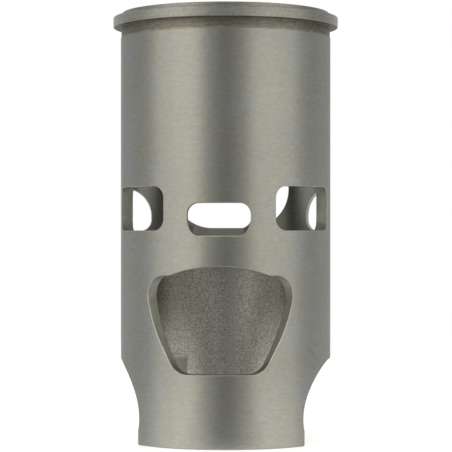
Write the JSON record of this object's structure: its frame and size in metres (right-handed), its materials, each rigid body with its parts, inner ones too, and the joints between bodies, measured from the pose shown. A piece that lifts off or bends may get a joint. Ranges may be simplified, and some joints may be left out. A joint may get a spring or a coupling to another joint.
{
  "type": "cylinder liner",
  "caption": "Flanged, ported cylinder liner for a two-stroke engine, one turned piece with transfer, boost and exhaust ports, an intake window and a forked foot.",
  "frame": {"origin": "centre of the foot, on the bore axis", "axes": "+Z along the bore towards the gasket face, -Y towards the intake window, +Y towards the exhaust port"},
  "size_m": [0.0784, 0.0784, 0.1485],
  "materials": {
    "machined_iron": "bright satin, fine turned skin, milled ports and a rough-bored bore"
  },
  "bodies": {
    "root": {"liner": "machined_iron"}
  },
  "joints": []
}
